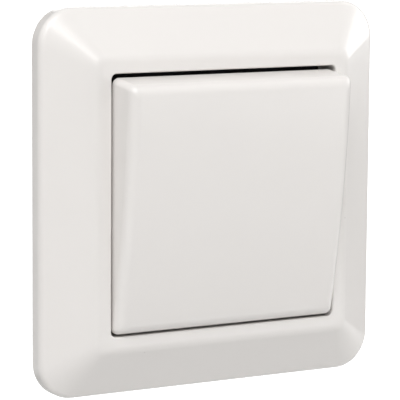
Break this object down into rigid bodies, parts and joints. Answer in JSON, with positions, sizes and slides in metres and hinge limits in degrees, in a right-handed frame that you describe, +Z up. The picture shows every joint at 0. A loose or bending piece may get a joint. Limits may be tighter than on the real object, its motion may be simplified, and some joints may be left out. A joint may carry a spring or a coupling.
{
  "type": "rocker wall switch",
  "caption": "Flush wall switch: square bevelled cover frame round a wide rocker button, on a steel plate with a deep rear housing, push-in terminals and spreading claws.",
  "frame": {"origin": "centre of the mounting plate's rear face, on the wall surface, midway between the box screw slots", "axes": "-Y out of the wall towards the user, +Y into the wall box, +Z up, +X to the right as seen from the front"},
  "size_m": [0.084, 0.0418, 0.084],
  "materials": {
    "white_cover": "moulded, semi-gloss",
    "carrier_plastic": "moulded, satin",
    "housing_plastic": "moulded, fine matt",
    "lever_plastic": "moulded, satin",
    "clip_plastic": "moulded, satin",
    "plunger_plastic": "acetal, smooth",
    "black_steel": "black passivated sheet",
    "zinc_steel": "zinc plated sheet",
    "screw_steel": "zinc plated, bright",
    "spring_steel": "spring steel",
    "copper_alloy": "bare copper alloy strip",
    "silver_contact": "silver alloy"
  },
  "bodies": {
    "insert": {"cover_frame": "white_cover", "mounting_plate": "black_steel", "frame_clips": "clip_plastic", "base_cover": "housing_plastic", "switch_base": "housing_plastic", "base_rivets": "screw_steel", "common_terminal": "copper_alloy", "upper_terminal": "copper_alloy", "lower_terminal": "copper_alloy", "fixed_contact_tips": "silver_contact", "upper_clamp_springs": "spring_steel", "common_clamp_springs": "spring_steel", "lower_clamp_springs": "spring_steel"},
    "rocker": {"rocker_button": "white_cover", "rocker_carrier": "carrier_plastic", "plunger_spring": "spring_steel"},
    "plunger": {"plunger": "plunger_plastic"},
    "see_saw": {"moving_contact": "copper_alloy", "moving_contact_tips": "silver_contact"},
    "upper_lever": {"upper_release_lever": "lever_plastic"},
    "common_lever": {"common_release_lever": "lever_plastic"},
    "lower_lever": {"lower_release_lever": "lever_plastic"},
    "right_claw_screw": {"right_claw_screw": "screw_steel"},
    "right_claw_nut": {"right_claw_nut": "screw_steel"},
    "right_claw": {"right_claw": "zinc_steel"},
    "left_claw_screw": {"left_claw_screw": "screw_steel"},
    "left_claw_nut": {"left_claw_nut": "screw_steel"},
    "left_claw": {"left_claw": "zinc_steel"}
  },
  "joints": [
    {"name": "rocker_tilt", "type": "hinge", "parent": "insert", "child": "rocker", "pos_m": [0, -0.008, 0], "axis": [1, 0, 0], "range_deg": [-15, 0]},
    {"name": "see_saw_tilt", "type": "hinge", "parent": "insert", "child": "see_saw", "pos_m": [0, 0.00535, 0], "axis": [1, 0, 0], "range_deg": [0, 12]},
    {"name": "plunger_slide", "type": "slide", "parent": "rocker", "child": "plunger", "axis": [0, 0.9914, 0.1305], "range_m": [-0.0006, 0.00025], "stiffness_N_per_m": 600, "deforming": ["plunger_spring"]},
    {"name": "upper_lever_press", "type": "slide", "parent": "insert", "child": "upper_lever", "axis": [0, -1, 0], "range_m": [0, 0.0013], "stiffness_N_per_m": 1500, "deforming": ["upper_clamp_springs"]},
    {"name": "common_lever_press", "type": "slide", "parent": "insert", "child": "common_lever", "axis": [0, -1, 0], "range_m": [0, 0.0013], "stiffness_N_per_m": 1500, "deforming": ["common_clamp_springs"]},
    {"name": "lower_lever_press", "type": "slide", "parent": "insert", "child": "lower_lever", "axis": [0, -1, 0], "range_m": [0, 0.0013], "stiffness_N_per_m": 1500, "deforming": ["lower_clamp_springs"]},
    {"name": "right_claw_spread", "type": "slide", "parent": "insert", "child": "right_claw", "axis": [0.6, -0.8, 0], "range_m": [0, 0.005]},
    {"name": "right_claw_nut_travel", "type": "slide", "parent": "insert", "child": "right_claw_nut", "axis": [0, -1, 0], "range_m": [0, 0.004]},
    {"name": "right_claw_screw_turn", "type": "hinge", "parent": "insert", "child": "right_claw_screw", "pos_m": [0.0252, 0, -0.009], "axis": [0, 1, 0], "range_deg": [0, 2880]},
    {"name": "left_claw_spread", "type": "slide", "parent": "insert", "child": "left_claw", "axis": [-0.6, -0.8, 0], "range_m": [0, 0.005]},
    {"name": "left_claw_nut_travel", "type": "slide", "parent": "insert", "child": "left_claw_nut", "axis": [0, -1, 0], "range_m": [0, 0.004]},
    {"name": "left_claw_screw_turn", "type": "hinge", "parent": "insert", "child": "left_claw_screw", "pos_m": [-0.0252, 0, 0.009], "axis": [0, 1, 0], "range_deg": [0, 2880]}
  ],
  "couplings": [
    {"joint": "see_saw_tilt", "follows": "rocker_tilt", "ratio": -0.8},
    {"joint": "right_claw_nut_travel", "follows": "right_claw_spread", "ratio": 0.8},
    {"joint": "right_claw_screw_turn", "follows": "right_claw_spread", "rad_per_m": 10053},
    {"joint": "left_claw_nut_travel", "follows": "left_claw_spread", "ratio": 0.8},
    {"joint": "left_claw_screw_turn", "follows": "left_claw_spread", "rad_per_m": 10053}
  ]
}
